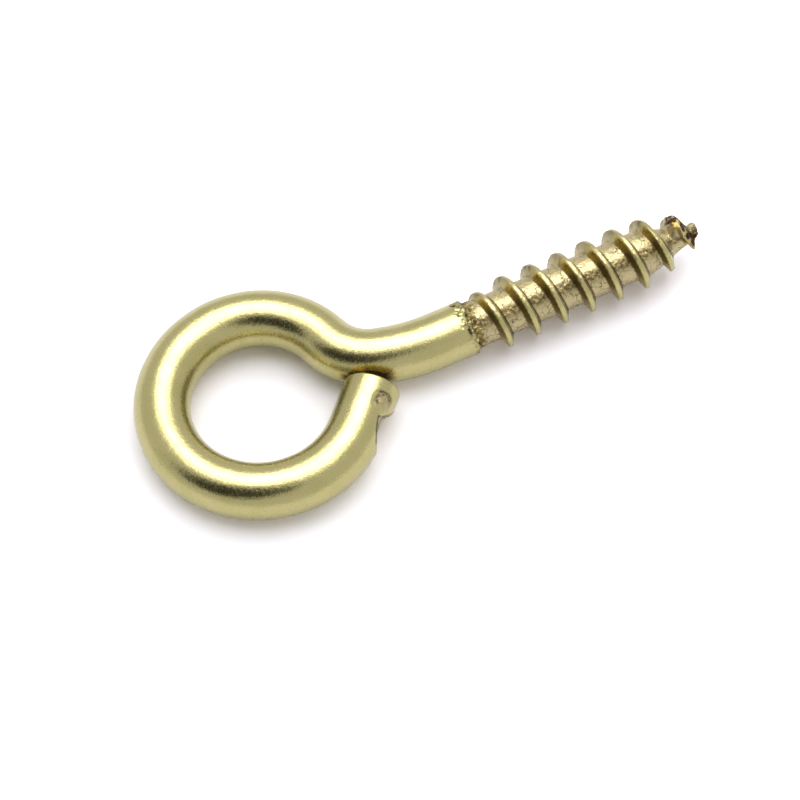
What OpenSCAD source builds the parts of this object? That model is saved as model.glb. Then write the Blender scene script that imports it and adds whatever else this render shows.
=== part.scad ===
// Screw eye: one length of round wire, bent to a closed eye at one end and
// threaded as a wood screw at the other, with its gimlet point broken off.
//
// Frame: +Z up, origin at the centre of the eye. The part lies as it rests on
// a flat surface, on the far side of its eye and on its first full turn of
// thread, so the whole part leans by rest_tilt about Y. Before that lean the
// middle line of the wire is in the XY plane and the shank runs along +X.
// Headings are angles in that plane, from +X towards +Y. Lengths are in mm.

/* [Wire] */
// Diameter of the plain wire
wire_d = 4; // [3.6:0.1:4.6]

/* [Eye] */
// Inner diameter of the eye
eye_d = 9.86; // [8:0.1:14]
// Direction from the eye's centre to where its round starts, at the cut end
eye_from = -44; // [-60:1:-38]
// Direction from the eye's centre to where its round ends, at the shoulder
eye_to = -267.7; // [-275:1:-260]

/* [Neck] */
// Bend radius of the shoulder between the eye and the neck
shoulder_r = 6.3; // [5.5:0.1:8]
// Angle that the shoulder turns through, to the right
shoulder_turn = 74.4; // [66:0.5:80]
// Bend radius of the neck, where the wire turns back towards the shank
neck_r = 4.27; // [3:0.05:6]
// Angle that the neck turns through, to the left
neck_turn = 54.7; // [45:0.5:58]
// Bend radius of the long easing bend from the neck into the shank
ease_r = 14.85; // [8:0.5:25]

/* [Cut end] */
// Gap left between the neck and the face that was cut along it
seam_gap = 0.15; // [0.05:0.05:0.8]
// Angle into the neck's bend at which the cut face lies along it
seam_at = 32; // [24:1:40]
// Rounding of the cut face's rim
end_rim = 0.4; // [0.1:0.05:0.8]
// Distance from the cut face back to the steep end of the shear nick
nick_back = 1.9; // [1.2:0.1:2.6]
// Length of the shear nick in the outer side of the cut end
nick_len = 2.1; // [1:0.1:3]
// Depth of the shear nick at its steep end
nick_depth = 0.62; // [0.2:0.02:0.9]

/* [Thread] */
// Length of plain straight shank before the thread
shank_len = 1.95; // [0.5:0.1:20]
// Length of thread before the core tapers
thread_len = 13.5; // [8:0.5:40]
// Diameter of the thread's core
core_d = 3.34; // [2.8:0.02:3.5]
// Diameter over the thread's crest
crest_d = 4.86; // [4:0.02:5.6]
// Distance between neighbouring turns
pitch = 2.14; // [1.6:0.02:3]
// Width of the ridge where it meets the core
ridge_root_w = 0.92; // [0.6:0.02:1.2]
// Width of the flat along the crest
ridge_crest_w = 0.26; // [0.1:0.02:0.4]
// Distance from the collar to where the ridge starts to rise
ridge_rise = 0.49; // [0.4:0.01:1.5]
// Angle round the shank, from +Y towards +Z, at which the ridge starts
ridge_start = -151; // [-180:1:180]
// Length of the torn edge that the plain wire ends in
collar_len = 0.75; // [0.4:0.05:1.2]

/* [Broken tip] */
// Length from where the core starts to taper to the broken end
tip_len = 4.4; // [3.5:0.1:7]
// Diameter of the stub at the broken end
tip_d = 1.15; // [1:0.05:2]
// Distance that the broken end is bent off the shank's line
tip_bend = 0.1; // [0:0.05:0.6]
// Share of the tip's length at which the thread breaks off in a burr
ridge_stop = 0.72; // [0.6:0.02:0.84]
// Diameter of the burr that the thread ends in
burr_d = 1.3; // [0.7:0.05:1.4]

/* [Hidden] */
$fn = 96;

full_turn = 360;
quarter_turn = 90;
wire_r = wire_d / 2;
core_r = core_d / 2;
crest_r = crest_d / 2;
tip_r = tip_d / 2;
burr_r = burr_d / 2;
eye_r = (eye_d + wire_d) / 2;
brass = [0.74, 0.69, 0.4];
bare = [0.66, 0.6, 0.42];

// The middle line of the wire. A turn to the left is positive.
function unit(a) = [cos(a), sin(a)];
function after_bend(p, heading, r, turn) =
    p + sign(turn) * r * (unit(heading + turn - 90) - unit(heading - 90));
eye_p = eye_r * unit(eye_from);
shoulder_p = eye_r * unit(eye_to);
shoulder_heading = eye_to + 270;
neck_p = after_bend(shoulder_p, shoulder_heading, shoulder_r, -shoulder_turn);
neck_heading = shoulder_heading - shoulder_turn;
ease_p = after_bend(neck_p, neck_heading, neck_r, neck_turn);
ease_heading = neck_heading + neck_turn;
shank_p = after_bend(ease_p, ease_heading, ease_r, -ease_heading);

// The cut end runs straight on from the eye, up to a face along the neck.
end_heading = eye_from + quarter_turn;
seam_heading = neck_heading + seam_at;
seam_side = unit(seam_heading + 90);
seam_p = after_bend(neck_p, neck_heading, neck_r, seam_at) - (wire_r + seam_gap) * seam_side;
end_len = (seam_p - eye_p) * seam_side / (unit(end_heading) * seam_side);

// Stations along the bends: a place and a heading at each step of the turn.
wire_sides = 32;
bend_step = 6;
function bend_stations(p, heading, r, turn) =
    let (n = ceil(abs(turn) / bend_step))
    [for (i = [1 : n]) [after_bend(p, heading, r, turn * i / n), heading + turn * i / n]];
stations = [
    [eye_p, eye_from - quarter_turn],
    each bend_stations(eye_p, eye_from - quarter_turn, eye_r, eye_to - eye_from),
    each bend_stations(shoulder_p, shoulder_heading, shoulder_r, -shoulder_turn),
    each bend_stations(neck_p, neck_heading, neck_r, neck_turn),
    each bend_stations(ease_p, ease_heading, ease_r, -ease_heading),
    [shank_p + [shank_len, 0], 0]
];

// The thread. Places along it are measured from the collar.
steps_per_turn = 22;
core_sides = 48;
tip_sides = 20;
root_sink = 0.2;
lead_in = full_turn;
low_angle = 270;
collar_x = shank_p[0] + shank_len;
ridge_end = thread_len + ridge_stop * tip_len;
ridge_turned = full_turn * (ridge_end - ridge_rise) / pitch;
burr_angle = (ridge_start + ridge_turned) % full_turn;

// The lean at rest. Its plane touches the far side of the eye and the lowest
// place of the first turn that has its full height.
first_low = low_angle + full_turn * ceil((ridge_start + lead_in - low_angle) / full_turn);
rest_span = eye_r + collar_x + ridge_rise + pitch * (first_low - ridge_start) / full_turn;
rest_tilt = atan2(crest_r, rest_span) - asin(wire_r / norm([crest_r, rest_span]));

// A waviness between about -1 and 1, for torn and broken metal. a is an angle
// round the wire and k picks a different wave.
function torn(a, k) =
    0.5 * sin(2 * a + 67 * k) + 0.35 * sin(5 * a - 41 * k) + 0.25 * sin(9 * a + 113 * k);

// Eases from 0 to 1 while t goes from 0 to 1.
function ease(t) = let (u = min(max(t, 0), 1)) u * u * (3 - 2 * u);

// Radius of the core, and how far it is bent off the line, at a place along
// the thread.
function tip_share(x) = (x - thread_len) / tip_len;
function core_at(x) = core_r - (core_r - tip_r) * ease(tip_share(x));
function bend_at(x) = tip_bend * pow(max(tip_share(x), 0), 2);

// The tip leans to the side that faces away from the burr.
function tip_shift(x) = -bend_at(x) * [0, cos(burr_angle), sin(burr_angle)];

// Height of the ridge above the core once it has turned through `turned`.
function ridge_height(turned) =
    (crest_r - core_r) * ease(turned / lead_in) * ease((ridge_turned - turned) / 60);

// Skin over a row of rings that all have the same number of points. Each ring
// goes round the row's direction by the right-hand rule.
module loft(rings) {
    n = len(rings[0]);
    last = len(rings) - 1;
    polyhedron(
        points = [for (ring = rings) each ring],
        faces = [
            [for (j = [n - 1 : -1 : 0]) n - 1 - j],
            for (i = [0 : last - 1], j = [0 : n - 1])
                each let (a = i * n + j, b = i * n + (j + 1) % n)
                    [[a, a + n, b + n], [a, b + n, b]],
            [for (j = [n - 1 : -1 : 0]) last * n + j]
        ]
    );
}

// Place on the wire's skin: round by angle a from the left side, upwards.
function on_skin(p, heading, r, a) =
    let (q = p + r * cos(a) * unit(heading + 90)) [q[0], q[1], r * sin(a)];

// Ring round the wire, square to its middle line.
function square_ring(p, heading) =
    [for (j = [0 : wire_sides - 1]) on_skin(p, heading, wire_r, full_turn * j / wire_sides)];

// Ring round the cut end that lies along the neck, `back` behind the cut face.
function seam_ring(r, back) = [
    for (j = [0 : wire_sides - 1])
        let (
            q = on_skin(eye_p, end_heading + 180, r, full_turn * j / wire_sides),
            flat = [q[0], q[1]],
            along = (seam_p - flat) * seam_side / (unit(end_heading) * seam_side) - back
        )
        q + along * [cos(end_heading), sin(end_heading), 0]
];

// The whole wire in one skin, from the cut face round the eye, out over the
// shoulder, neck and easing bend, to the end of the plain shank.
module bent_wire() {
    color(brass) loft([
        seam_ring(wire_r - end_rim, 0),
        seam_ring(wire_r - 0.3 * end_rim, 0.3 * end_rim),
        seam_ring(wire_r, end_rim),
        for (station = stations) square_ring(station[0], station[1])
    ]);
}

// The bite that the cropping shears left in the outer side of the cut end: a
// slope that deepens towards the cut and stops in a steep step.
module shear_nick() {
    translate(eye_p) rotate(end_heading) translate([end_len - nick_back, -wire_r, 0])
        linear_extrude(height = wire_d, center = true)
            polygon([[0, nick_depth], [0, -nick_depth], [-nick_len, -nick_depth], [-nick_len, 0]]);
}

// Torn edge where the rolling dies pressed the wire down to the core.
module collar() {
    sides = 32;
    skirt = 0.4;
    color(bare) translate([collar_x, shank_p[1], 0]) loft([
        for (step = [
            [0, 0.98 * wire_r],
            [0.6, 0.97 * wire_r],
            [0.8, (wire_r + core_r) / 2],
            [1, 0.96 * core_r]
        ]) [
            for (j = [0 : sides - 1])
                let (
                    a = full_turn * j / sides,
                    reach = collar_len * (0.75 + 0.25 * torn(a, 1)),
                    r = step[1] * (1 + (step[0] > 0 ? 0.02 * torn(a, 2 + step[0]) : 0))
                )
                [step[0] * (reach + skirt) - skirt, r * cos(a), r * sin(a)]
        ]
    ]);
}

// Cylindrical core of the thread.
module thread_core() {
    color(bare) translate([collar_x - collar_len, shank_p[1], 0]) rotate([0, 90, 0])
        cylinder(d = core_d, h = thread_len + collar_len, $fn = core_sides);
}

// The thread's ridge: a fin that winds right-handed round the core, rises over
// its first turn and follows the core down its taper.
module thread_ridge() {
    steps = ceil(ridge_turned * steps_per_turn / full_turn);
    color(brass) translate([collar_x, shank_p[1], 0]) loft([
        for (i = [0 : steps])
            let (
                turned = ridge_turned * i / steps,
                a = ridge_start + turned,
                x = ridge_rise + pitch * turned / full_turn,
                low = core_at(x) - root_sink,
                high = core_at(x) + max(ridge_height(turned), 0.02 - root_sink / 2)
            )
            [
                for (corner = [
                    [-ridge_root_w / 2, low],
                    [ridge_root_w / 2, low],
                    [ridge_crest_w / 2, high],
                    [-ridge_crest_w / 2, high]
                ])
                    [x + corner[0], corner[1] * cos(a), corner[1] * sin(a)] + tip_shift(x)
            ]
    ]);
}

// Tapering stub of the core, broken off where the point should be.
module broken_tip() {
    rings = 12;
    hidden = 0.3;
    jag = 0.35;
    color(bare) translate([collar_x, shank_p[1], 0]) loft([
        for (i = [0 : rings])
            let (share = i / rings, x = thread_len - hidden + (tip_len + hidden) * share)
            [
                for (j = [0 : tip_sides - 1])
                    let (
                        a = full_turn * j / tip_sides,
                        r = 0.985 * core_at(x) * (1 + 0.16 * pow(share, 3) * torn(a, 4 + i / 3))
                    )
                    [x + jag * pow(share, 6) * torn(a, 9), r * cos(a), r * sin(a)] + tip_shift(x)
            ]
    ]);
}

// Rough lump of metal at the end of the thread, beside the broken end.
module burr() {
    rings = 7;
    sides = 14;
    x = ridge_end;
    out = core_at(x) + 0.3 * burr_r;
    color(bare)
        translate([collar_x + x, shank_p[1] + out * cos(burr_angle), out * sin(burr_angle)])
            loft([
                for (i = [0 : rings])
                    let (b = -80 + 160 * i / rings)
                    [
                        for (j = [0 : sides - 1])
                            let (
                                a = full_turn * j / sides,
                                r = burr_r * (1 + 0.18 * torn(a, 12 + i / 2))
                            )
                            [1.1 * r * sin(b), r * cos(b) * cos(a), r * cos(b) * sin(a)]
                    ]
            ]);
}

// The screw eye, as it lies.
module screw_eye() {
    rotate([0, -rest_tilt, 0]) union() {
        difference() {
            bent_wire();
            shear_nick();
        }
        collar();
        thread_core();
        thread_ridge();
        broken_tip();
        burr();
    }
}

screw_eye();
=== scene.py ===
"""Looks of the screw eye: its wire, thread, torn and broken metal, finish, floor, light and camera."""

import logging
import math
from dataclasses import dataclass, fields
from enum import Enum
from typing import Any, Callable, Iterable, Sequence, Union

import bpy
import numpy as np
from mathutils import Matrix, Vector


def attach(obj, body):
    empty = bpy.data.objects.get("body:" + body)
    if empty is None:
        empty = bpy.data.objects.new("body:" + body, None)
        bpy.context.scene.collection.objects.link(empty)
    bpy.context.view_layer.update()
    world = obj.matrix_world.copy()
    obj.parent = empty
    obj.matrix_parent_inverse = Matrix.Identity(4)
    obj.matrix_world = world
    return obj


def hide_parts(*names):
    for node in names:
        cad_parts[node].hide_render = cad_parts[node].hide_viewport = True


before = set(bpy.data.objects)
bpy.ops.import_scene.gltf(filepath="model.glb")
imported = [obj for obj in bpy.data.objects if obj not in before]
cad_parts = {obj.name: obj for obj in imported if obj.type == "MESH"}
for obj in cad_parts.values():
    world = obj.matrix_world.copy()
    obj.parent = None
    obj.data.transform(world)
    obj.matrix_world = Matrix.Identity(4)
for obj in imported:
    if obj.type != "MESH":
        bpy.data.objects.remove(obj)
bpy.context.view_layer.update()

LOG = logging.getLogger("screw_eye")
MM = 0.001
Operand = Union["Value", int, float]
Triple = tuple[float, float, float]
Marks = dict["Mark", "Value"]


class Mark(Enum):
    """What the skin stores for its finish, each from 0 to 1, by the name of its attribute."""

    BARE = "bare"
    # A tint, partly painted gold reflection.
    AMBER = "amber"
    MATT = "matt"
    RUST = "rust"
    # Grime, and also painted shade and painted dark reflection.
    DARK = "dark"


# ---- Node trees ----


class Graph:
    """A node tree that is filled from Python, of shader or of geometry nodes."""

    def __init__(self, tree: bpy.types.NodeTree) -> None:
        """Empties the tree.

        Args:
            tree: the tree to fill.
        """
        self.tree = tree
        tree.nodes.clear()

    def node(self, kind: str, settings: dict[str, Any] | None = None,
             values: dict[Any, Any] | None = None) -> bpy.types.Node:
        """Adds one node, with its settings made before its sockets are filled.

        Args:
            kind: the node's type.
            settings: its properties.
            values: what each input socket gets, a link or a plain value.

        Returns:
            The new node.
        """
        made = self.tree.nodes.new(kind)
        for name, setting in (settings or {}).items():
            setattr(made, name, setting)
        for key, given in (values or {}).items():
            self.feed(made.inputs[key], given)
        return made

    def feed(self, socket: bpy.types.NodeSocket, given: Any) -> None:
        """Links a value to an input socket, or writes a plain value in it.

        Args:
            socket: the input socket.
            given: a Value, an output socket, a number or a sequence.
        """
        if isinstance(given, Value):
            self.tree.links.new(given.socket, socket)
        elif isinstance(given, bpy.types.NodeSocket):
            self.tree.links.new(given, socket)
        else:
            socket.default_value = given

    def value(self, socket: bpy.types.NodeSocket) -> "Value":
        """Wraps an output socket for use in expressions."""
        return Value(self, socket)

    def mix(self, factor: Operand, low: Any, high: Any) -> "Value":
        """Mixes two colours, by how far to go from low to high."""
        made = self.node("ShaderNodeMix", {"data_type": "RGBA"}, {0: factor, 6: low, 7: high})
        return self.value(made.outputs[2])

    def vector_math(self, operation: str, *operands: Any) -> "Value":
        """Applies one Vector Math operation to vectors and scales.

        Args:
            operation: the operation's name.
            operands: the vectors, and for SCALE the factor last.

        Returns:
            The resulting vector.
        """
        made = self.node("ShaderNodeVectorMath", {"operation": operation})
        for socket, given in zip((s for s in made.inputs if s.enabled), operands):
            self.feed(socket, given)
        return self.value(next(s for s in made.outputs if s.enabled))

    def shifted(self, start: Any, direction: Any, distance: Operand) -> "Value":
        """A vector moved along a direction by a distance."""
        return self.vector_math("ADD", start, self.vector_math("SCALE", direction, distance))

    def vector(self, **parts: Operand) -> "Value":
        """A vector from its parts X, Y and Z, of which the ones not given are 0."""
        return self.value(self.node("ShaderNodeCombineXYZ", None, parts).outputs[0])

    def noise(self, where: "Value", scale: float, detail: float = 2.0, roughness: float = 0.5,
              distortion: float = 0.0, shift: Triple = (0.0, 0.0, 0.0)) -> "Value":
        """Adds a Noise Texture.

        Args:
            where: the coordinate it reads.
            scale: waves in one unit of the coordinate.
            detail: number of finer layers.
            roughness: strength of the finer layers.
            distortion: how far the pattern is pulled about.
            shift: offset into the pattern, so that two of them differ.

        Returns:
            Its value, from 0 to 1 about 0.5.
        """
        place = self.vector_math("ADD", where, shift) if any(shift) else where
        made = self.node("ShaderNodeTexNoise", None, {
            "Vector": place, "Scale": scale, "Detail": detail, "Roughness": roughness,
            "Distortion": distortion})
        return self.value(made.outputs[0])

    def noise_colour(self, where: "Value", scale: float) -> "Value":
        """A Noise Texture's colour less its middle grey, as a vector to bend others by."""
        made = self.node("ShaderNodeTexNoise", None, {"Vector": where, "Scale": scale, "Detail": 2.0})
        return self.vector_math("SUBTRACT", made.outputs[1], (0.5, 0.5, 0.5))

    def cells(self, where: "Value", scale: float) -> "Value":
        """How far the nearest edge of a Voronoi Texture's cell is."""
        made = self.node("ShaderNodeTexVoronoi", {"feature": "DISTANCE_TO_EDGE"},
                         {"Vector": where, "Scale": scale})
        return self.value(made.outputs["Distance"])


def operator(operation: str, swapped: bool = False) -> Callable[..., "Value"]:
    """Makes a method of Value that adds one Math node.

    Args:
        operation: the node's operation.
        swapped: whether the other operand comes first, as in 1 - value.

    Returns:
        The method.
    """
    def method(self: "Value", *others: Operand) -> "Value":
        """Adds the Math node and returns its result.

        Args:
            others: the other operands of the node.

        Returns:
            The result.
        """
        operands = (*others, self) if swapped else (self, *others)
        made = self.graph.node("ShaderNodeMath", {"operation": operation}, dict(enumerate(operands)))
        return Value(self.graph, made.outputs[0])
    return method


class Value:
    """A number or vector that a node tree works out, with Python's operators."""

    def __init__(self, graph: Graph, socket: bpy.types.NodeSocket) -> None:
        """Wraps an output socket.

        Args:
            graph: the graph that the socket belongs to.
            socket: the output socket.
        """
        self.graph = graph
        self.socket = socket

    __add__, __radd__ = operator("ADD"), operator("ADD", True)
    __sub__, __rsub__ = operator("SUBTRACT"), operator("SUBTRACT", True)
    __mul__, __rmul__ = operator("MULTIPLY"), operator("MULTIPLY", True)
    __truediv__, __pow__ = operator("DIVIDE"), operator("POWER")
    __mod__, __abs__ = operator("FLOORED_MODULO"), operator("ABSOLUTE")
    __gt__, __lt__ = operator("GREATER_THAN"), operator("LESS_THAN")
    floor, round, sin, cos = operator("FLOOR"), operator("ROUND"), operator("SINE"), operator("COSINE")
    _least, _smooth_least = operator("MINIMUM"), operator("SMOOTH_MIN")
    _most = operator("MAXIMUM")

    def __neg__(self) -> "Value":
        """-self."""
        return self * -1.0

    def least(self, other: Operand, blend: float = 0.0) -> "Value":
        """The smaller of two values, rounded over a width of `blend`."""
        return self._smooth_least(other, blend) if blend else self._least(other)

    def most(self, *others: Operand) -> "Value":
        """The largest of all the values.

        Args:
            others: the values beside this one.

        Returns:
            The largest one.
        """
        largest = self
        for other in others:
            largest = largest._most(other)
        return largest

    def _mapped(self, interpolation: str, *limits: Operand) -> "Value":
        """Adds a Map Range node with one interpolation and its four limits."""
        made = self.graph.node("ShaderNodeMapRange", {"interpolation_type": interpolation},
                               dict(enumerate((self, *limits))))
        return Value(self.graph, made.outputs[0])

    def ease(self, low: Operand, high: Operand, start: Operand = 0.0, end: Operand = 1.0) -> "Value":
        """Goes smoothly from start, at low, to end, at high.

        Args:
            low: where the change begins.
            high: where it ends, which may lie below low.
            start: the result before it.
            end: the result after it.

        Returns:
            The eased value.
        """
        return self._mapped("SMOOTHSTEP", low, high, start, end)

    def fade(self, low: Operand, high: Operand) -> "Value":
        """Goes smoothly from 1, at low, down to 0, at high."""
        return self.ease(low, high, 1.0, 0.0)

    def ramp(self, low: Operand, high: Operand, start: Operand = 0.0, end: Operand = 1.0) -> "Value":
        """Goes in a straight line from start, at low, to end, at high, and no further."""
        return self._mapped("LINEAR", low, high, start, end)

    def bump_at(self, centre: Operand, width: float) -> "Value":
        """1 at centre, easing to 0 at `width` on both sides."""
        return abs(self - centre).fade(0.0, width)


# ---- Sizes in millimetres and degrees: the part's own, but for a finer rim and nick at the cut end ----


def unit(angle: float) -> np.ndarray:
    """Direction in the plane of the eye, at an angle from +X towards +Y."""
    return np.array([math.cos(math.radians(angle)), math.sin(math.radians(angle))])


@dataclass(frozen=True)
class Bend:
    """One bend of the wire: radius in millimetres and turn in degrees, left positive."""

    radius: float
    turn: float


@dataclass(frozen=True)
class WireSizes:
    """Sizes of the bent wire and its cut end, where nick_tilt slants the nick's upper end."""

    radius: float = 2.0
    eye_radius: float = 6.93
    eye_from: float = -44.0
    eye_to: float = -267.7
    shoulder: Bend = Bend(6.3, -74.4)
    neck: Bend = Bend(4.27, 54.7)
    ease_radius: float = 14.85
    seam_gap: float = 0.15
    seam_at: float = 32.0
    rim: float = 0.14
    nick_back: float = 1.65
    nick_tilt: float = 1.6
    nick_length: float = 2.75
    nick_depth: float = 0.74
    nick_facing: float = -7.0
    shank: float = 1.95


@dataclass(frozen=True)
class ThreadSizes:
    """Sizes of the thread, its torn start and its broken tip."""

    core_radius: float = 1.67
    crest_radius: float = 2.43
    pitch: float = 2.14
    root_width: float = 0.92
    crest_width: float = 0.3
    start_angle: float = -151.0
    rise: float = 0.49
    length: float = 13.5
    torn_edge: float = 0.3
    tip_length: float = 4.4
    tip_radius: float = 0.575
    tip_bend: float = 0.1
    end_share: float = 0.72

    @property
    def end_turns(self) -> float:
        """Turns that the ridge makes before it breaks off."""
        return (self.length + self.end_share * self.tip_length - self.rise) / self.pitch

    @property
    def end_angle(self) -> float:
        """Angle round the shank at which the ridge breaks off, in degrees."""
        return (self.start_angle + 360 * self.end_turns) % 360

    def bend_at(self, place: float) -> np.ndarray:
        """How far the tip leans off the shank's line, in the eye's frame.

        Args:
            place: distance along the thread.

        Returns:
            The shift, away from where the ridge breaks off.
        """
        lean = self.tip_bend * max((place - self.length) / self.tip_length, 0.0) ** 2
        return -lean * np.array([0.0, *unit(self.end_angle)])


@dataclass(frozen=True)
class Row:
    """One ring of the wire's skin: where it is, which way it goes and how far along it is."""

    centre: Triple
    heading: float
    place: float
    rim: float = 1.0
    slant: float = 0.0


class WirePath:
    """The middle line of the wire, from the cut face to the broken tip, as a list of rows."""

    bar_step = 0.06
    nick_step = 0.09
    bend_step = 0.34
    thread_step = 0.058
    tip_step = 0.035
    nick_run = 1.3
    fine_run = 1.1
    tip_run = 2.0
    touch_shift = 1.11
    face_shares = (0, 0.02, 0.15, 0.3, 0.45, 0.6, 0.75, 0.9, 1)
    rim_turns = (15, 30, 45, 60, 75, 90)
    break_shares = (1.0, 0.94, 0.86, 0.77, 0.68, 0.59, 0.5, 0.41, 0.32, 0.23, 0.14, 0.06, 0.0)
    break_dome = 0.02

    def __init__(self, wire: WireSizes, thread: ThreadSizes) -> None:
        """Lays the rows.

        Args:
            wire: sizes of the bent wire.
            thread: sizes of the thread.
        """
        self.wire = wire
        self.thread = thread
        self.eye_start = wire.eye_radius * unit(wire.eye_from)
        self.bends: list[tuple[np.ndarray, float, Bend]] = []
        point, heading = self.eye_start, wire.eye_from - 90
        for bend in (Bend(wire.eye_radius, wire.eye_to - wire.eye_from), wire.shoulder, wire.neck):
            self.bends.append((point, heading, bend))
            point, heading = self.after(point, heading, bend), heading + bend.turn
        last = Bend(wire.ease_radius, -((heading + 180) % 360 - 180))
        self.bends.append((point, heading, last))
        self.shank_start = self.after(point, heading, last)
        self.bent_run = sum(b.radius * math.radians(abs(b.turn)) for _, _, b in self.bends)
        self.eye_place = -self.bent_run - wire.shank
        self.collar_x = float(self.shank_start[0]) + wire.shank
        self._aim_cut_face()
        self.rows = self._cut_rows() + self._bent_rows() + self._thread_rows()

    @staticmethod
    def after(point: np.ndarray, heading: float, bend: Bend, share: float = 1.0) -> np.ndarray:
        """Place reached after a share of a bend.

        Args:
            point: where the bend starts.
            heading: direction at its start.
            bend: the bend.
            share: how much of it is gone through.

        Returns:
            The place in the plane of the eye.
        """
        side = math.copysign(bend.radius, bend.turn)
        return point + side * (unit(heading + bend.turn * share - 90) - unit(heading - 90))

    def _aim_cut_face(self) -> None:
        """Works out how the cut face lies along the neck."""
        wire = self.wire
        point, heading, bend = self.bends[2]
        side = unit(heading + wire.seam_at + 90)
        seam = self.after(point, heading, bend, wire.seam_at / bend.turn)
        seam = seam - (wire.radius + wire.seam_gap) * side
        along = unit(wire.eye_from + 90)
        left = unit(wire.eye_from)
        neck_run = sum(b.radius * math.radians(abs(b.turn)) for _, _, b in self.bends[:2])
        touch_run = bend.radius * math.radians(wire.seam_at)
        self.neck_touch = self.eye_place + neck_run + touch_run + self.touch_shift
        self.cut_run = float((seam - self.eye_start) @ side / (along @ side))
        self.cut_slant = float(left @ side / (along @ side))

    def _cut_row(self, back: float, rim: float) -> Row:
        """A row of the cut end, `back` behind the cut face along its middle.

        Args:
            back: how far behind the cut face it is.
            rim: its share of the wire's radius.

        Returns:
            The row.
        """
        share = (self.cut_run - back) / self.cut_run
        run = share * self.cut_run
        centre = self.eye_start + run * unit(self.wire.eye_from + 90)
        return Row((centre[0], centre[1], 0.0), self.wire.eye_from - 90, self.eye_place - run, rim,
                   share * self.cut_slant)

    def _cut_rows(self) -> list[Row]:
        """Rows of the cut face, its rounded rim and the straight end of the wire.

        Returns:
            The rows, from the middle of the face on.
        """
        wire = self.wire
        flat = 1 - wire.rim / wire.radius
        rows = [self._cut_row(0.0, flat * share) for share in self.face_shares]
        for turn in self.rim_turns:
            back, out = 1 - math.cos(math.radians(turn)), math.sin(math.radians(turn))
            rows.append(self._cut_row(wire.rim * back, flat + (1 - flat) * out))
        run = self.cut_run - wire.rim
        count = round(run / self.bar_step)
        return rows + [self._cut_row(wire.rim + run * i / count, 1.0) for i in range(1, count)]

    def _bent_rows(self) -> list[Row]:
        """Rows of the eye, the shoulder, the neck, the easing bend and the plain shank.

        Returns:
            The rows, up to the collar.
        """
        rows: list[Row] = []
        place = self.eye_place
        for index, (point, heading, bend) in enumerate(self.bends):
            run = bend.radius * math.radians(abs(bend.turn))
            stops = self._stops(run, self.nick_run if index == 0 else 0.0, self.nick_step)
            for stop in stops[:-1]:
                share = stop / run
                at = self.after(point, heading, bend, share)
                rows.append(Row((at[0], at[1], 0.0), heading + bend.turn * share, place + stop))
            place += run
        plain = self._stops(self.wire.shank, self.fine_run, self.bar_step)
        for stop in (self.wire.shank - s for s in reversed(plain)):
            rows.append(self._shank_row(stop - self.wire.shank))
        return rows[:-1]

    def _stops(self, run: float, fine_run: float, fine_step: float) -> list[float]:
        """Distances along a run, close together at its start and then wider apart.

        Args:
            run: length of the run.
            fine_run: length of its close start.
            fine_step: step in the close start.

        Returns:
            The distances, with both ends.
        """
        fine = [fine_step * i for i in range(int(fine_run / fine_step))]
        start = fine[-1] + fine_step if fine else 0.0
        count = max(2, round((run - start) / self.bend_step))
        return fine + [start + (run - start) * i / count for i in range(count + 1)]

    def _shank_row(self, place: float, rim: float = 1.0) -> Row:
        """A row of the shank, at a place measured from the collar.

        Args:
            place: how far beyond the collar it is.
            rim: its share of the wire's radius.

        Returns:
            The row.
        """
        shift = self.thread.bend_at(place)
        centre = (self.collar_x + place, float(self.shank_start[1]) + shift[1], shift[2])
        return Row(centre, 0.0, place, rim)

    def _thread_rows(self) -> list[Row]:
        """Rows of the thread and of the broken end.

        Returns:
            The rows, from the collar on.
        """
        run = self.thread.length + self.thread.tip_length
        coarse_run = run - self.tip_run
        count = round(coarse_run / self.thread_step)
        rows = [self._shank_row(coarse_run * i / count) for i in range(count)]
        count = round(self.tip_run / self.tip_step)
        rows += [self._shank_row(coarse_run + self.tip_run * i / count) for i in range(count)]
        return rows + [self._shank_row(run + self.break_dome * (1 - rim), rim) for rim in self.break_shares]

    def mesh(self) -> bpy.types.Mesh:
        """The rows as a mesh of loose points with one attribute for each of their values.

        Returns:
            The mesh.
        """
        made = bpy.data.meshes.new("wire_rows")
        made.from_pydata([row.centre for row in self.rows], [], [])
        forward = np.array([[*unit(row.heading), 0.0] for row in self.rows], np.float32)
        made.attributes.new("forward", "FLOAT_VECTOR", "POINT").data.foreach_set("vector", forward.ravel())
        for name in ("place", "rim", "slant"):
            numbers = np.array([getattr(row, name) for row in self.rows], np.float32)
            made.attributes.new(name, "FLOAT", "POINT").data.foreach_set("value", numbers)
        return made


# ---- The wire's skin, by geometry nodes ----


@dataclass(frozen=True, kw_only=True)
class SkinInputs:
    """Named inputs of the skin's node tree, in millimetres, turns and radians."""

    columns: int = 160
    wire_radius: float
    core_radius: float
    crest_radius: float
    tip_radius: float
    pitch: float
    root_width: float
    crest_width: float
    start_turns: float
    end_turns: float
    rise: float
    thread_length: float
    tip_length: float
    torn_edge: float
    cut_place: float
    nick_depth: float
    nick_start: float
    nick_length: float
    nick_tilt: float
    nick_facing: float
    neck_touch: float
    burr_angle: float
    lean: float
    seed: float = 3.0


@dataclass(frozen=True)
class Patch:
    """A ragged patch of the skin: its middle along and round the wire, and half its length and width."""

    place: float
    degrees: float
    long: float
    wide: float


@dataclass(frozen=True)
class Scar:
    """The crescent tear on the lump beyond the nick, and its lip, layers and pit."""

    degrees: float = 45.0
    back: float = 1.75
    reach: float = 0.98
    depth: float = 0.03
    roughness: float = 0.08
    lip_radius: float = 0.84
    lip_width: float = 0.14
    lip_depth: float = 0.09
    layer_waves: float = 26.0
    layer_depth: float = 0.032
    pit_across: float = 0.42
    pit_back: float = 1.8
    pit_radius: float = 0.24
    pit_depth: float = 0.06


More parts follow.
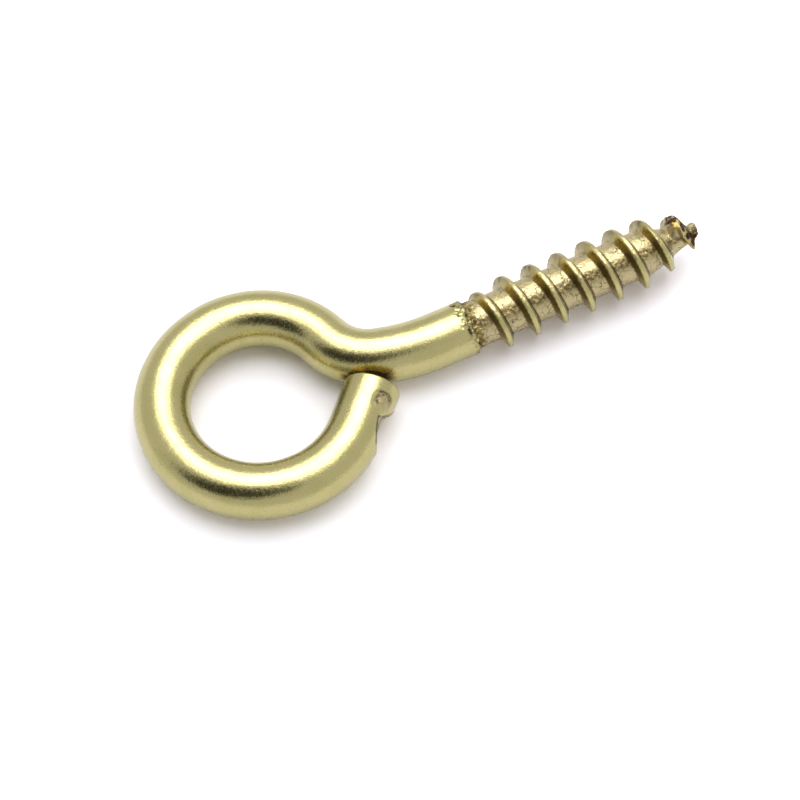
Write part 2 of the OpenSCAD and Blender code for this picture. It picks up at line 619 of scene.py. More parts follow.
@dataclass(frozen=True)
class Worn:
    """How rough and worn the thread is, which sides of it are folded and humped, which side gets painted
    shade, and where the fold's painted dark reflection lies.
    """

    wander: float = 0.09
    crest_wear: float = 0.2
    ripple: float = 0.04
    ridge_grain: float = 0.01
    core_grain: float = 0.05
    fold_depth: float = 0.035
    crest_clear: float = 0.008
    # Angle and half width of the groove, whose dark line is a painted reflection.
    fold: tuple[float, float] = (124.0, 17.0)
    hump: tuple[float, float] = (32.0, 50.0)
    # The side of the near flank that gets painted shade.
    shaded: tuple[float, float] = (132.0, 55.0)
    smooth: tuple[float, float] = (175.0, 75.0)
    matt: tuple[float, float] = (50.0, 60.0)


@dataclass(frozen=True)
class Collar:
    """The lumps, pits and crushed band where the plated wire is torn."""

    upper: tuple[float, float] = (105.0, 75.0)
    wave: float = 0.05
    pit_depth: float = 0.1
    hole_depth: float = 0.16
    tongue_height: float = 0.15
    lump_height: float = 0.09
    crushed_width: float = 0.75
    tongue: Patch = Patch(-0.15, 88.0, 0.36, 4.5)
    lumps: Patch = Patch(0.04, 109.0, 0.34, 9.0)
    holes: tuple[Patch, ...] = (Patch(-0.28, 52.0, 0.22, 9.0), Patch(0.17, 94.0, 0.12, 5.0),
                                Patch(0.33, 165.0, 0.1, 5.0), Patch(-0.08, 130.0, 0.14, 9.0))


@dataclass(frozen=True)
class Break:
    """The burr at the thread's end, and the stub's spur, lump, holes, rust, a gilt patch and a painted
    shade by the last ridge's foot.
    """

    burr_radius: float = 1.74
    burr_width: float = 74.0
    spur_height: float = 0.5
    spur_turn: float = 158.0
    lump_height: float = 0.16
    lump_turn: float = 15.0
    hole_depth: float = 0.12
    step_facing: float = 28.0
    step_height: float = 0.2
    furthest: float = 0.25
    hollow: float = 0.22
    holes: tuple[Patch, ...] = (Patch(17.02, 92.0, 0.16, 14.0), Patch(17.34, 131.0, 0.2, 24.0),
                                Patch(17.64, 161.0, 0.2, 30.0))
    crown: Patch = Patch(16.55, 55.0, 0.42, 26.0)
    back_rust: Patch = Patch(17.15, 60.0, 0.35, 30.0)
    end_rust: Patch = Patch(17.8, 109.0, 0.28, 40.0)
    gilt: Patch = Patch(16.8, 78.0, 0.22, 9.0)
    # Painted shade on the shadow side of the last ridge's foot.
    stain: Patch = Patch(15.68, 135.0, 0.2, 24.0)


class WireSkin:
    """Turns the rows of the wire into one closed skin with a thread, torn metal and breaks."""

    tree_name = "wire_skin"
    merge_within = 0.0005
    # Half length in millimetres and half width in degrees of the painted shade in the slit.
    slit_shade_half = (1.28, 33.0)
    scar = Scar()
    worn = Worn()
    collar = Collar()
    broken = Break()

    def __init__(self, sizes: SkinInputs, material: bpy.types.Material) -> None:
        """Builds the node tree.

        Args:
            sizes: values of the named inputs.
            material: the finish of the whole skin.
        """
        self.sizes = sizes
        self.material = material
        self.tree = bpy.data.node_groups.new(self.tree_name, "GeometryNodeTree")
        self.graph = Graph(self.tree)
        self.identifiers: dict[str, str] = {}
        self._declare()
        self._fill()

    def _declare(self) -> None:
        face = self.tree.interface
        face.new_socket("Rows", in_out="INPUT", socket_type="NodeSocketGeometry")
        for field in fields(SkinInputs):
            kind = "NodeSocketInt" if field.name == "columns" else "NodeSocketFloat"
            socket = face.new_socket(self._label(field.name), in_out="INPUT", socket_type=kind)
            self.identifiers[field.name] = socket.identifier
        self.identifiers["material"] = face.new_socket(
            "Finish", in_out="INPUT", socket_type="NodeSocketMaterial").identifier
        face.new_socket("Skin", in_out="OUTPUT", socket_type="NodeSocketGeometry")

    @staticmethod
    def _label(name: str) -> str:
        """How the tree writes the name of an input."""
        return name.replace("_", " ").capitalize()

    def _size(self, name: str) -> Value:
        """The value of one named input."""
        return self.graph.value(self.entry.outputs[self._label(name)])

    def _row_value(self, name: str, row: Value, vector: bool = False) -> Value:
        """Reads one attribute of the row that a grid point belongs to.

        Args:
            name: the attribute, or "position".
            row: the row's number.
            vector: whether the attribute is a vector.

        Returns:
            The attribute's value at that row.
        """
        kind = "FLOAT_VECTOR" if vector else "FLOAT"
        if name == "position":
            source = self.graph.node("GeometryNodeInputPosition").outputs[0]
        else:
            source = self.graph.node("GeometryNodeInputNamedAttribute", {"data_type": kind},
                                     {"Name": name}).outputs[0]
        sample = self.graph.node("GeometryNodeSampleIndex", {"data_type": kind, "domain": "POINT"},
                                 {"Geometry": self.entry.outputs["Rows"], "Value": source, "Index": row})
        return self.graph.value(sample.outputs[0])

    def _fill(self) -> None:
        """Adds the nodes, from the grid of rows and columns to the finished skin."""
        g = self.graph
        self.entry = g.node("NodeGroupInput")
        columns = self._size("columns")
        count = g.node("GeometryNodeAttributeDomainSize", {"component": "MESH"},
                       {"Geometry": self.entry.outputs["Rows"]}).outputs["Point Count"]
        grid = g.node("GeometryNodeMeshGrid", None, {"Vertices X": count, "Vertices Y": columns + 1})
        index = g.value(g.node("GeometryNodeInputIndex").outputs[0])
        row = ((index + 0.5) / (columns + 1)).floor()
        column = (index - row * (columns + 1)) % columns
        self.turn = column / columns
        self.angle = self.turn * math.tau
        self.place = self._row_value("place", row)
        self.rim = self._row_value("rim", row)
        centre = self._row_value("position", row, True)
        forward = self._row_value("forward", row, True)
        slant = self._row_value("slant", row)
        left = g.vector_math("CROSS_PRODUCT", (0.0, 0.0, 1.0), forward)
        across, upward = self.angle.cos(), self.angle.sin()
        out = g.shifted(g.vector(Z=upward), left, across)
        skin = g.shifted(centre, out, self.rim * self._size("wire_radius"))
        self.where = g.vector_math("ADD", skin, g.vector(X=self._size("seed")))

        radius, ahead, marks = self._shape()
        reach = radius * self.rim
        offset = g.shifted(g.vector_math("SCALE", out, reach), forward, slant * reach * across + ahead)
        position = g.vector_math("ADD", centre, offset)
        shown = g.node("GeometryNodeSetPosition", None,
                       {"Geometry": grid.outputs["Mesh"], "Position": position}).outputs[0]
        for mark, amount in marks.items():
            shown = g.node("GeometryNodeStoreNamedAttribute", {"data_type": "FLOAT", "domain": "POINT"},
                           {"Geometry": shown, "Name": mark.value, "Value": amount}).outputs[0]
        lean = g.vector(Y=-self._size("lean"))
        for kind, values in (
                ("GeometryNodeMergeByDistance", {"Distance": self.merge_within}),
                ("GeometryNodeSetShadeSmooth", {}),
                ("GeometryNodeTransform", {"Rotation": lean, "Scale": (MM, MM, MM)}),
                ("GeometryNodeRealizeInstances", {}),
                ("GeometryNodeSetMaterial", {"Material": self.entry.outputs["Finish"]})):
            shown = g.node(kind, None, {"Geometry": shown, **values}).outputs[0]
        g.node("NodeGroupOutput", None, {0: shown})

    def _toward(self, degrees: Operand, narrow: float) -> Value:
        """1 on the side of the wire that faces an angle, easing to 0 away from it.

        Args:
            degrees: the angle round the wire.
            narrow: half the width of the mask, in degrees.

        Returns:
            The mask.
        """
        facing = (self.angle - degrees * math.radians(1.0)).cos()
        return facing.ease(math.cos(math.radians(narrow)), 1.0)

    def _turned(self, degrees: float) -> Value:
        """How far round the wire a point lies from an angle, in turns from -0.5 to 0.5."""
        return (self.turn + (0.5 - degrees / 360)) % 1.0 - 0.5

    @staticmethod
    def _length(across: Value, along: Value) -> Value:
        """The length of a vector from its two parts."""
        return (across ** 2.0 + along ** 2.0) ** 0.5

    def _patch(self, patch: Patch) -> Value:
        """1 in a ragged patch of the skin, easing to 0 at its edge.

        Args:
            patch: the patch.

        Returns:
            The mask.
        """
        along = (self.place - patch.place) / patch.long
        around = self._turned(patch.degrees) * (360 / patch.wide)
        return (self._length(along, around) + self.fine * 0.9).fade(0.7, 1.15)

    def _patches(self, patches: Iterable[Patch]) -> Value:
        """1 in any of several patches."""
        first, *others = [self._patch(patch) for patch in patches]
        return first.most(*others)

    @staticmethod
    def _merge(*groups: Marks) -> Marks:
        """Joins sets of marks, with the stronger one of each kind kept.

        Args:
            groups: the sets.

        Returns:
            The joined set.
        """
        merged: Marks = {}
        for group in groups:
            for mark, amount in group.items():
                merged[mark] = merged[mark].most(amount) if mark in merged else amount
        return merged

    def _shape(self) -> tuple[Value, Value, Marks]:
        """The skin's radius, its shift along the wire, and the marks for its finish.

        Returns:
            The radius, the shift and the marks.
        """
        g = self.graph
        broad = g.noise(self.where, 0.32, 1.0)
        self.coarse = g.noise(self.where, 1.4, 2.0, 0.55) - 0.5
        self.fine = g.noise(self.where, 3.8, 1.5, 0.6, 0.3) - 0.5
        self.pocks = g.noise(self.where, 2.6, 2.0, 0.5, 0.4, (7.0, 3.0, 1.0)) - 0.5

        plain = self._size("wire_radius") - broad.ease(0.3, 0.7, 0.003, 0.015)
        plain, cut_marks = self._cut_end(plain)
        thread, thread_marks = self._thread()
        radius, collar_marks = self._collar(plain, thread, thread_marks)
        radius, ahead, end_marks = self._broken_end(radius)
        marks = self._merge(cut_marks, self._neck_slit_shade(), collar_marks, end_marks)
        return radius, ahead, marks

    def _neck_slit_shade(self) -> Marks:
        """Painted shade in the slit between the cut face and the neck, and a painted gold reflection beside
        it.

        Returns:
            The marks.
        """
        half_length, half_width = self.slit_shade_half
        along = (self.place - self._size("neck_touch")) / half_length
        around = (self.angle - math.pi) / math.radians(half_width)
        off = self._length(along, around) + self.fine * 0.12
        off = off + (-along).most(0.0) * around.most(0.0) * 1.5
        # DARK paints the shade in the slit; AMBER round it paints a gold reflection.
        return {Mark.DARK: off.fade(0.96, 1.04), Mark.AMBER: off.ease(1.0, 1.5, 0.5, 0.0)}

    def _cut_end(self, plain: Value) -> tuple[Value, Marks]:
        """The cropped end: the shear nick, the crescent tear above it and the rough face.

        Args:
            plain: the plain wire's radius.

        Returns:
            The radius, and the marks on it.
        """
        scar = self.scar
        facing = (self.angle - self._size("nick_facing")).cos()
        run = self.place - self._size("nick_start")
        begun = run - self.angle.sin().most(-0.2).least(0.6) * self._size("nick_tilt")
        length, depth = self._size("nick_length"), self._size("nick_depth")
        cut_away = (run < length) * begun.ease(-0.14, 0.08)
        slope = depth * (1 - (run / length).most(0.0) ** 3.0) * cut_away
        slope = slope + self.coarse * 0.16 * cut_away * run.ease(length, length * 0.7)
        flat = (self._size("wire_radius") - slope) / facing.most(0.2)
        bitten = plain.least(flat + (1 - (facing > 0.2)) * 9.0, 0.05)
        inside = (plain - bitten).ease(0.0, 0.06)

        around = self._turned(scar.degrees) * (math.tau * 2.0)
        along = self.place - self._size("cut_place")
        far = self._length(around, along - scar.back) + self.coarse * 0.3 + self.fine * 0.2
        torn = far.fade(0.6, scar.reach) * along.ease(2.7, 1.7)
        lip = far.bump_at(scar.lip_radius, scar.lip_width) * around.ease(-0.85, -0.6)
        lip = lip * along.ease(1.5 - around * 0.3, 1.15 - around * 0.3)
        layers = (far * scar.layer_waves + self.fine * 9.0).sin() * torn
        layers = layers * far.ease(0.3, 0.6) * along.ease(1.95, 1.3)
        pit = self._length(around - scar.pit_across, along - scar.pit_back) + self.fine * 0.35
        pit = pit.fade(0.08, scar.pit_radius)
        radius = bitten - torn * (scar.depth + self.fine * scar.roughness)
        radius = radius + layers * scar.layer_depth - lip * scar.lip_depth - pit * scar.pit_depth

        above = flat - plain
        seam = above.ease(0.2, 0.07) * above.ease(-0.3, -0.1) * (run < length)
        seam = seam * around.ease(-1.1, -0.8) * begun.ease(-0.1, 0.1)
        face = self.rim.fade(0.9, 0.97) * (self.place < self._size("nick_start"))
        ragged = self.fine.ease(-0.2, -0.02, 0.45, 1.0)
        return radius, {
            Mark.BARE: (torn * 0.9).most(inside * 0.8),
            Mark.MATT: (torn * 0.8).most(inside * 0.4),
            Mark.AMBER: face * 0.6,
            Mark.DARK: (lip * ragged).most(
                seam * ragged, pit * 0.8, torn * (-layers).ease(0.15, 0.7) * 0.9),
        }

    def _thread(self) -> tuple[Value, Marks]:
        """The thread's core and ridge, with painted reflection and shade on its flanks and feet.

        Returns:
            The radius, and the marks on it.
        """
        worn = self.worn
        taper = (self.place - self._size("thread_length")) / self._size("tip_length")
        drop = self._size("core_radius") - self._size("tip_radius")
        core = self._size("core_radius") - drop * taper.ease(0.0, 1.0)
        lift = self.turn - self._size("start_turns")
        turns = (self.place - self._size("rise")) / self._size("pitch") - lift
        nearest = turns.round()
        apart = (turns - nearest) * self._size("pitch") + self.coarse * worn.wander
        wound = lift + nearest
        height = (self._size("crest_radius") - self._size("core_radius")) * wound.ease(0.0, 1.0)
        height = height * (self._size("end_turns") - wound).ease(0.0, 0.15)
        height = height - self.fine.most(0.0) * worn.crest_wear * wound.ease(0.0, 0.5)
        half_root, half_crest = self._size("root_width") * 0.5, self._size("crest_width") * 0.5
        profile = abs(apart).ramp(half_crest, half_root, 1.0, 0.0)
        ridge = profile * wound.ease(0.0, 0.3)
        open_core = 1 - ridge.ease(0.0, 0.3)
        # A shallow groove along one side of the core; its dark mark paints the dark reflection band that
        # lies at this angle.
        fold = self._toward(*worn.fold) * open_core
        grain = worn.ridge_grain + open_core * worn.core_grain
        radius = core + height * profile + self.fine * grain + self.coarse * worn.ripple
        radius = radius - fold * self.pocks.ease(-0.1, 0.1) * worn.fold_depth
        radius = radius.least(self._size("crest_radius") - worn.crest_clear)

        crest = ridge.ease(0.86, 0.99)
        flank = ridge.ease(0.04, 0.16) * (1 - crest)
        near_side = apart.ease(0.02, -0.08)
        hump, shaded = self._toward(*worn.hump), self._toward(*worn.shaded)
        bright = crest * self.fine.ease(-0.15, 0.1, 0.3, 0.7) * (1 - self._toward(*worn.smooth))
        far_foot_shade = apart.bump_at(half_root - 0.05, 0.15) * self.fine.ease(-0.25, 0.0, 0.6, 1.0)
        near_foot_shade = apart.bump_at(-half_root, 0.1) * self.fine.ease(-0.05, 0.15)
        spots = self.pocks.ease(0.03, 0.11)
        return radius, {
            Mark.BARE: open_core.most(bright, flank * hump * near_side * 0.6),
            # AMBER on the near flank paints a reflection of the bright core.
            Mark.AMBER: (flank * near_side * (1 - hump)).most(fold * 0.35),
            Mark.MATT: (ridge * hump * near_side).most(
                crest * 0.35, open_core * self._toward(*worn.matt) * 0.7),
            Mark.RUST: fold * spots * 0.5,
            # DARK paints shade at the ridge's feet and on the near flank's shaded side, paints a dark
            # reflection line along the fold, and darkens the humped side.
            Mark.DARK: (far_foot_shade.most(near_foot_shade * 0.7) * wound.ease(0.15, 0.5)).most(
                flank * near_side * shaded * 0.84, hump * near_side * ridge * (0.4 + spots * 0.45),
                fold * self.fine.ease(-0.12, 0.06) * 0.75),
        }

    def _collar(self, plain: Value, thread: Value, thread_marks: Marks) -> tuple[Value, Marks]:
        """The torn edge where the plated wire gives way to the thread.

        Args:
            plain: the plain wire's radius.
            thread: the thread's radius.
            thread_marks: the marks on the thread.

        Returns:
            The radius of both joined, and the marks on it.
        """
        collar = self.collar
        upper = self._toward(*collar.upper)
        wave = ((self.angle * 2 + 1.2).sin() + (self.angle * 5 - 0.7).sin()) * collar.wave
        edge = self._size("torn_edge") + wave + self.coarse * 0.4 + self.fine * 0.35
        torn = self.place.ease(edge - 0.05, edge + 0.12)
        frayed = self.place.ease(edge - 0.35 - upper * 0.6, edge - 0.15) * (1 - torn)
        pits = frayed * (self.pocks + self.fine * 0.6).ease(0.06, 0.14) * (0.5 + 0.5 * upper)
        holes = self._patches(collar.holes)
        tongue, lumps = self._patch(collar.tongue), self._patch(collar.lumps)
        plain = plain - pits * collar.pit_depth - frayed * (0.05 - self.fine * 0.6)
        plain = plain - holes * collar.hole_depth
        raised = lumps * (collar.lump_height + self.fine * 0.35)
        plain = plain + raised.most(tongue * collar.tongue_height)
        crushed = self.place.ease(edge, edge + 0.1)
        crushed = crushed * self.place.ease(edge + collar.crushed_width, edge + 0.3)
        radius = plain + (thread + crushed * (self.fine * 0.42 + self.pocks * 0.2) - plain) * torn
        on_thread = {mark: amount * torn for mark, amount in thread_marks.items()}
        lip = frayed * self.place.ease(edge - 0.14, edge - 0.04) * self.fine.ease(-0.08, 0.06)
        return radius, self._merge(on_thread, {
            Mark.BARE: (frayed * 0.5 * self.fine.ease(-0.1, 0.1)).most(lumps * 0.5),
            Mark.MATT: (crushed * 0.7).most(frayed * 0.4),
            Mark.AMBER: crushed * 0.5,
            Mark.RUST: crushed * self.pocks.ease(-0.05, 0.12) * 0.5,
            Mark.DARK: holes.most(pits * 0.8, lip * 0.8, crushed * self.fine.ease(-0.03, 0.1, 0.2, 0.8)),
        })

    def _broken_end(self, radius: Value) -> tuple[Value, Value, Marks]:
        """The burr at the thread's end and the jagged break of the stub.

        Args:
            radius: the radius so far.

        Returns:
            The radius, the shift along the wire, and the marks on the end.
        """
        broken = self.broken
        back = self._size("thread_length") + self._size("tip_length") - self.place
        side = self._size("burr_angle")
        burr = back.ease(2.0, 1.45) * back.ease(0.32, 1.0) * self._toward(side, broken.burr_width) ** 0.6
        spur = back.bump_at(0.25, 0.42) * self._toward(side + broken.spur_turn, 55.0)
        lump = back.ease(0.5, 0.1) * self._toward(side + broken.lump_turn, 90.0)
        crag = back.ease(1.0, 0.3)
        rough = self.coarse * 0.3 + self.fine * 0.12
        holes = self._patches(broken.holes)
        radius = radius + burr * (broken.burr_radius - radius + rough)
        radius = radius + spur * (broken.spur_height + self.coarse * 0.3) + lump * broken.lump_height
        radius = radius + crag * rough * 0.5 - holes * broken.hole_depth

        across = radius * self.rim * (self.angle - math.radians(broken.step_facing)).cos()
        step = across.ease(-0.62, -0.15, -broken.step_height, broken.step_height) + self.coarse * 0.2
        jag = back.ease(0.75, 0.0) * step.least(broken.furthest, 0.1)
        hollow = self.rim.ease(0.0, 0.75, -broken.hollow, 0.0)
        torn_face = self.rim.ease(0.95, 0.7) * self.pocks.ease(-0.05, 0.06)
        crown = self._patch(broken.crown) * self.pocks.ease(-0.14, 0.02, 0.35, 1.0)
        back_rust, end_rust = self._patch(broken.back_rust), self._patch(broken.end_rust)
        return radius, jag + hollow, {
            Mark.RUST: crown.most(back_rust * 0.7, end_rust * 0.6, holes, torn_face),
            Mark.MATT: (crag * 0.6).most(burr * 0.8, crown),
            Mark.AMBER: (self._patch(broken.gilt) * 0.25).most(spur * 0.4),
            Mark.DARK: (holes * 0.8).most(
                # The patch by the last ridge's foot is painted shade.
                self._patch(broken.stain) * 0.55, crown * self.pocks.ease(0.0, 0.1) * 0.8,
                crag * self.fine.ease(0.06, 0.16) * 0.6),
        }

    def build(self, path: WirePath, name: str) -> bpy.types.Object:
        """Runs the tree on the rows and keeps the result as a plain mesh.

        Args:
            path: the rows.
            name: name of the finished piece.

        Returns:
            The finished piece.
        """
        source = bpy.data.objects.new("rows", path.mesh())
        bpy.context.scene.collection.objects.link(source)
        modifier = source.modifiers.new("skin", "NODES")
        modifier.node_group = self.tree
        for field in fields(SkinInputs):
            modifier[self.identifiers[field.name]] = getattr(self.sizes, field.name)
        modifier[self.identifiers["material"]] = self.material
        graph = bpy.context.evaluated_depsgraph_get()
        mesh = bpy.data.meshes.new_from_object(source.evaluated_get(graph))
        source.modifiers.remove(modifier)
        bpy.data.objects.remove(source)
        mesh.name = name
        piece = bpy.data.objects.new(name, mesh)
        bpy.context.scene.collection.objects.link(piece)
        return piece


# ---- Finishes ----


class Finish:
    """A finish, whose kind says what its shader is."""

    def material(self, name: str) -> bpy.types.Material:
        """Builds the material.

        Args:
            name: the material's name.

        Returns:
            The material.
        """
        made = bpy.data.materials.new(name)
        made.use_nodes = True
        g = Graph(made.node_tree)
        g.node("ShaderNodeOutputMaterial", None, {"Surface": self._shader(g).outputs[0]})
        return made

    def _shader(self, g: Graph) -> bpy.types.Node:
        """Fills the tree and returns its shader node."""
        raise NotImplementedError


@dataclass(frozen=True)
class PlatedBrass(Finish):
    """Bright plating on wire: satin brass, with bare pressed metal, an amber tint that is partly painted
    reflection, grime with painted shade, and rust.
    """

    plate: Triple = (0.50, 0.44, 0.20)
    green: Triple = (0.46, 0.42, 0.175)
    bare: Triple = (0.47, 0.395, 0.205)
    amber: Triple = (0.47, 0.31, 0.03)
    # Colour of grime, also used for painted shade and painted dark reflection.
    grime: Triple = (0.04, 0.025, 0.011)
    rust: Triple = (0.066, 0.024, 0.008)
    gloss: float = 0.25
    bare_gloss: float = 0.28
    lacquer: float = 0.3
    lacquer_gloss: float = 0.22
    crack_cells: float = 1.8
    crack_bend: float = 0.5
    crack_width: float = 0.045
    grain_height: float = 0.013
    dent_height: float = 0.012
    flake_height: float = 0.042

    def _shader(self, g: Graph) -> bpy.types.Node:
        """Fills the tree from the marks and from noise in the part's millimetres.

        Args:
            g: the tree.

        Returns:
            The shader node.
        """
        where = g.value(g.node("ShaderNodeTexCoord").outputs["Object"])
        local = g.vector_math("SCALE", where, 1 / MM)
        marks = {mark: g.value(g.node("ShaderNodeAttribute", {"attribute_name": mark.value}).outputs["Fac"])
                 for mark in Mark}
        tone = g.noise(local, 0.55, 3.0, 0.6)
        grain = g.noise(local, 5.5, 3.0, 0.65)
        dents = g.noise(local, 1.6, 2.0, 0.5, 0.0, (5.0, 1.0, 8.0))
        speck = g.noise(local, 6.5, 3.0, 0.55, 0.2, (3.0, 9.0, 4.0)).ease(0.69, 0.75)
        flake = g.noise(local, 5.0, 4.0, 0.7, 0.5, (11.0, 2.0, 6.0))
        bent = g.shifted(local, g.noise_colour(local, 2.5), self.crack_bend)
        crack = g.cells(bent, self.crack_cells).fade(0.0, self.crack_width)
        crack = crack * g.noise(local, 1.1, 1.0, 0.5, 0.0, (2.0, 2.0, 9.0)).ease(0.42, 0.54)

        bare, matt, amber = (marks[mark].least(1.0) for mark in (Mark.BARE, Mark.MATT, Mark.AMBER))
        stained = bare * flake.ease(0.62, 0.7) * 0.6
        # Grime, specks, stains and cracks, together with the painted shade and dark reflection held in the
        # dark mark.
        dirt_and_shade = marks[Mark.DARK].most(speck * 0.55, stained, bare * crack * 0.9).least(1.0)
        rust = marks[Mark.RUST].ease(0.25, 0.75) * flake.ease(0.35, 0.5)
        colour = g.mix(tone.ease(0.35, 0.65), (*self.plate, 1.0), (*self.green, 1.0))
        for amount, tint in ((bare.ease(0.15, 0.85), self.bare), (amber * 0.85, self.amber),
                             (dirt_and_shade * 0.97, self.grime), (rust, self.rust)):
            colour = g.mix(amount, colour, (*tint, 1.0))

        rough = self.gloss + (grain - 0.5) * 0.2 + bare * (self.bare_gloss - self.gloss)
        rough = (rough + matt * 0.2 + dirt_and_shade * 0.2 + rust * 0.3).least(1.0)
        height = grain * (self.grain_height + bare * 0.004) + dents * self.dent_height
        height = height + flake * bare * self.flake_height - dirt_and_shade * 0.012 + grain * (matt + rust) * 0.008
        bump = g.node("ShaderNodeBump", None, {"Strength": 1.0, "Distance": MM, "Height": height})
        spoilt = rust.most(dirt_and_shade)
        return g.node("ShaderNodeBsdfPrincipled", None, {
            "Base Color": colour, "Roughness": rough, "Metallic": 1.0 - spoilt * 0.3,
            "Coat Weight": self.lacquer * (1 - spoilt * 0.9), "Coat Roughness": self.lacquer_gloss,
            "Normal": bump.outputs[0]})


@dataclass(frozen=True)
class PalePaper(Finish):
    """White sweep under the part: white to the eye, and darker only where a shadow falls."""

    colour: Triple = (0.9, 0.9, 0.9)
    mirrored: Triple = (1.2, 1.19, 1.22)
    seen: Triple = (1.43, 1.4, 1.49)

    def _shader(self, g: Graph) -> bpy.types.Node:
        """Fills the tree, with a colour for light, one for mirrors and one for the camera.

        Args:
            g: the tree.

        Returns:
            The shader node.
        """
        path = g.node("ShaderNodeLightPath").outputs
        mirror = g.value(path["Is Glossy Ray"]).most(g.value(path["Is Transmission Ray"]))
        colour = g.mix(mirror, (*self.colour, 1.0), (*self.mirrored, 1.0))
        colour = g.mix(path["Is Camera Ray"], colour, (*self.seen, 1.0))
        return g.node("ShaderNodeBsdfDiffuse", None, {"Color": colour})


@dataclass(frozen=True)
class MattBlack(Finish):
    """Matt black of the card that stands behind the camera."""

    level: float = 0.02

    def _shader(self, g: Graph) -> bpy.types.Node:
        """Fills the tree with one dark grey."""
        return g.node("ShaderNodeBsdfDiffuse", None, {"Color": (self.level, self.level, self.level, 1.0)})


# ---- The part, and what stands round it ----


@dataclass
class ScrewEye:
    """The whole screw eye: bent wire, thread, torn collar and broken tip in one skin."""

    wire: WireSizes = WireSizes()
    thread: ThreadSizes = ThreadSizes()

    @property
    def lean(self) -> float:
        """Angle that the part leans by as it rests on its eye and its first full turn, in degrees.

        Returns:
            The angle.
        """
        thread = self.thread
        first_low = 270 + 360 * math.ceil((thread.start_angle + 360 - 270) / 360)
        span = (self.wire.eye_radius + self.path.collar_x + thread.rise
                + thread.pitch * (first_low - thread.start_angle) / 360)
        reach = math.hypot(thread.crest_radius, span)
        return math.degrees(math.atan2(thread.crest_radius, span) - math.asin(self.wire.radius / reach))

    def inputs(self) -> SkinInputs:
        """The values of the skin's named inputs.

        Returns:
            The values.
        """
        wire, thread, path = self.wire, self.thread, self.path
        return SkinInputs(
            wire_radius=wire.radius, core_radius=thread.core_radius, crest_radius=thread.crest_radius,
            tip_radius=thread.tip_radius, pitch=thread.pitch, root_width=thread.root_width,
            crest_width=thread.crest_width, start_turns=thread.start_angle / 360,
            end_turns=thread.end_turns, rise=thread.rise, thread_length=thread.length,
            tip_length=thread.tip_length, torn_edge=thread.torn_edge,
            cut_place=path.eye_place - path.cut_run, nick_depth=wire.nick_depth,
            nick_start=path.eye_place - path.cut_run + wire.nick_back,
            nick_length=wire.nick_length, nick_tilt=wire.nick_tilt,
            nick_facing=math.radians(wire.nick_facing), neck_touch=path.neck_touch,
            burr_angle=thread.end_angle, lean=math.radians(self.lean))

    def build(self) -> bpy.types.Object:
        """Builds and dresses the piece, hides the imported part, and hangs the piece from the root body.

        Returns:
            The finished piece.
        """
        self.path = WirePath(self.wire, self.thread)
        finish = PlatedBrass().material("plated_brass")
        piece = WireSkin(self.inputs(), finish).build(self.path, "screw_eye_wire")
        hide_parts("screw_eye")
        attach(piece, "root")
        LOG.info("%s: %d points, %d faces", piece.name, len(piece.data.vertices), len(piece.data.polygons))
        return piece


def outward(azimuth: float, elevation: float) -> Vector:
    """Direction from the origin to where something stands, in degrees, azimuth from -Y towards +X.

    Args:
        azimuth: angle round the part.
        elevation: angle above the level.

    Returns:
        The direction.
    """
    around, above = math.radians(azimuth), math.radians(elevation)
    level = math.cos(above)
    return Vector((math.sin(around) * level, -math.cos(around) * level, math.sin(above)))


def aimed(direction: tuple[float, float], distance: float) -> Matrix:
    """Place and turn of something that stands off with its -Z towards the origin.

    Args:
        direction: (azimuth, elevation) in degrees.
        distance: how far off it stands, in metres.

    Returns:
        Its place and turn in one matrix.
    """
    back = outward(*direction)
    return Matrix.Translation(back * distance) @ back.to_track_quat("Z", "Y").to_matrix().to_4x4()


def ellipse(wide: float, high: float, count: int) -> list[Vector]:
    """Points round a flat ellipse, by its full width and height."""
    turns = [math.tau * i / count for i in range(count)]
    return [Vector((wide / 2 * math.cos(turn), high / 2 * math.sin(turn), 0.0)) for turn in turns]


@dataclass(frozen=True)
class View:
    """Where the camera stands before the part leans, in millimetres and degrees."""

    azimuth: float = -20.362
    elevation: float = 60.208
    roll: float = -5.346
    distance: float = 236.098
    across: float = 9.574
    upward: float = 0.215
    lens: float = 153.37
    sensor: float = 36.0


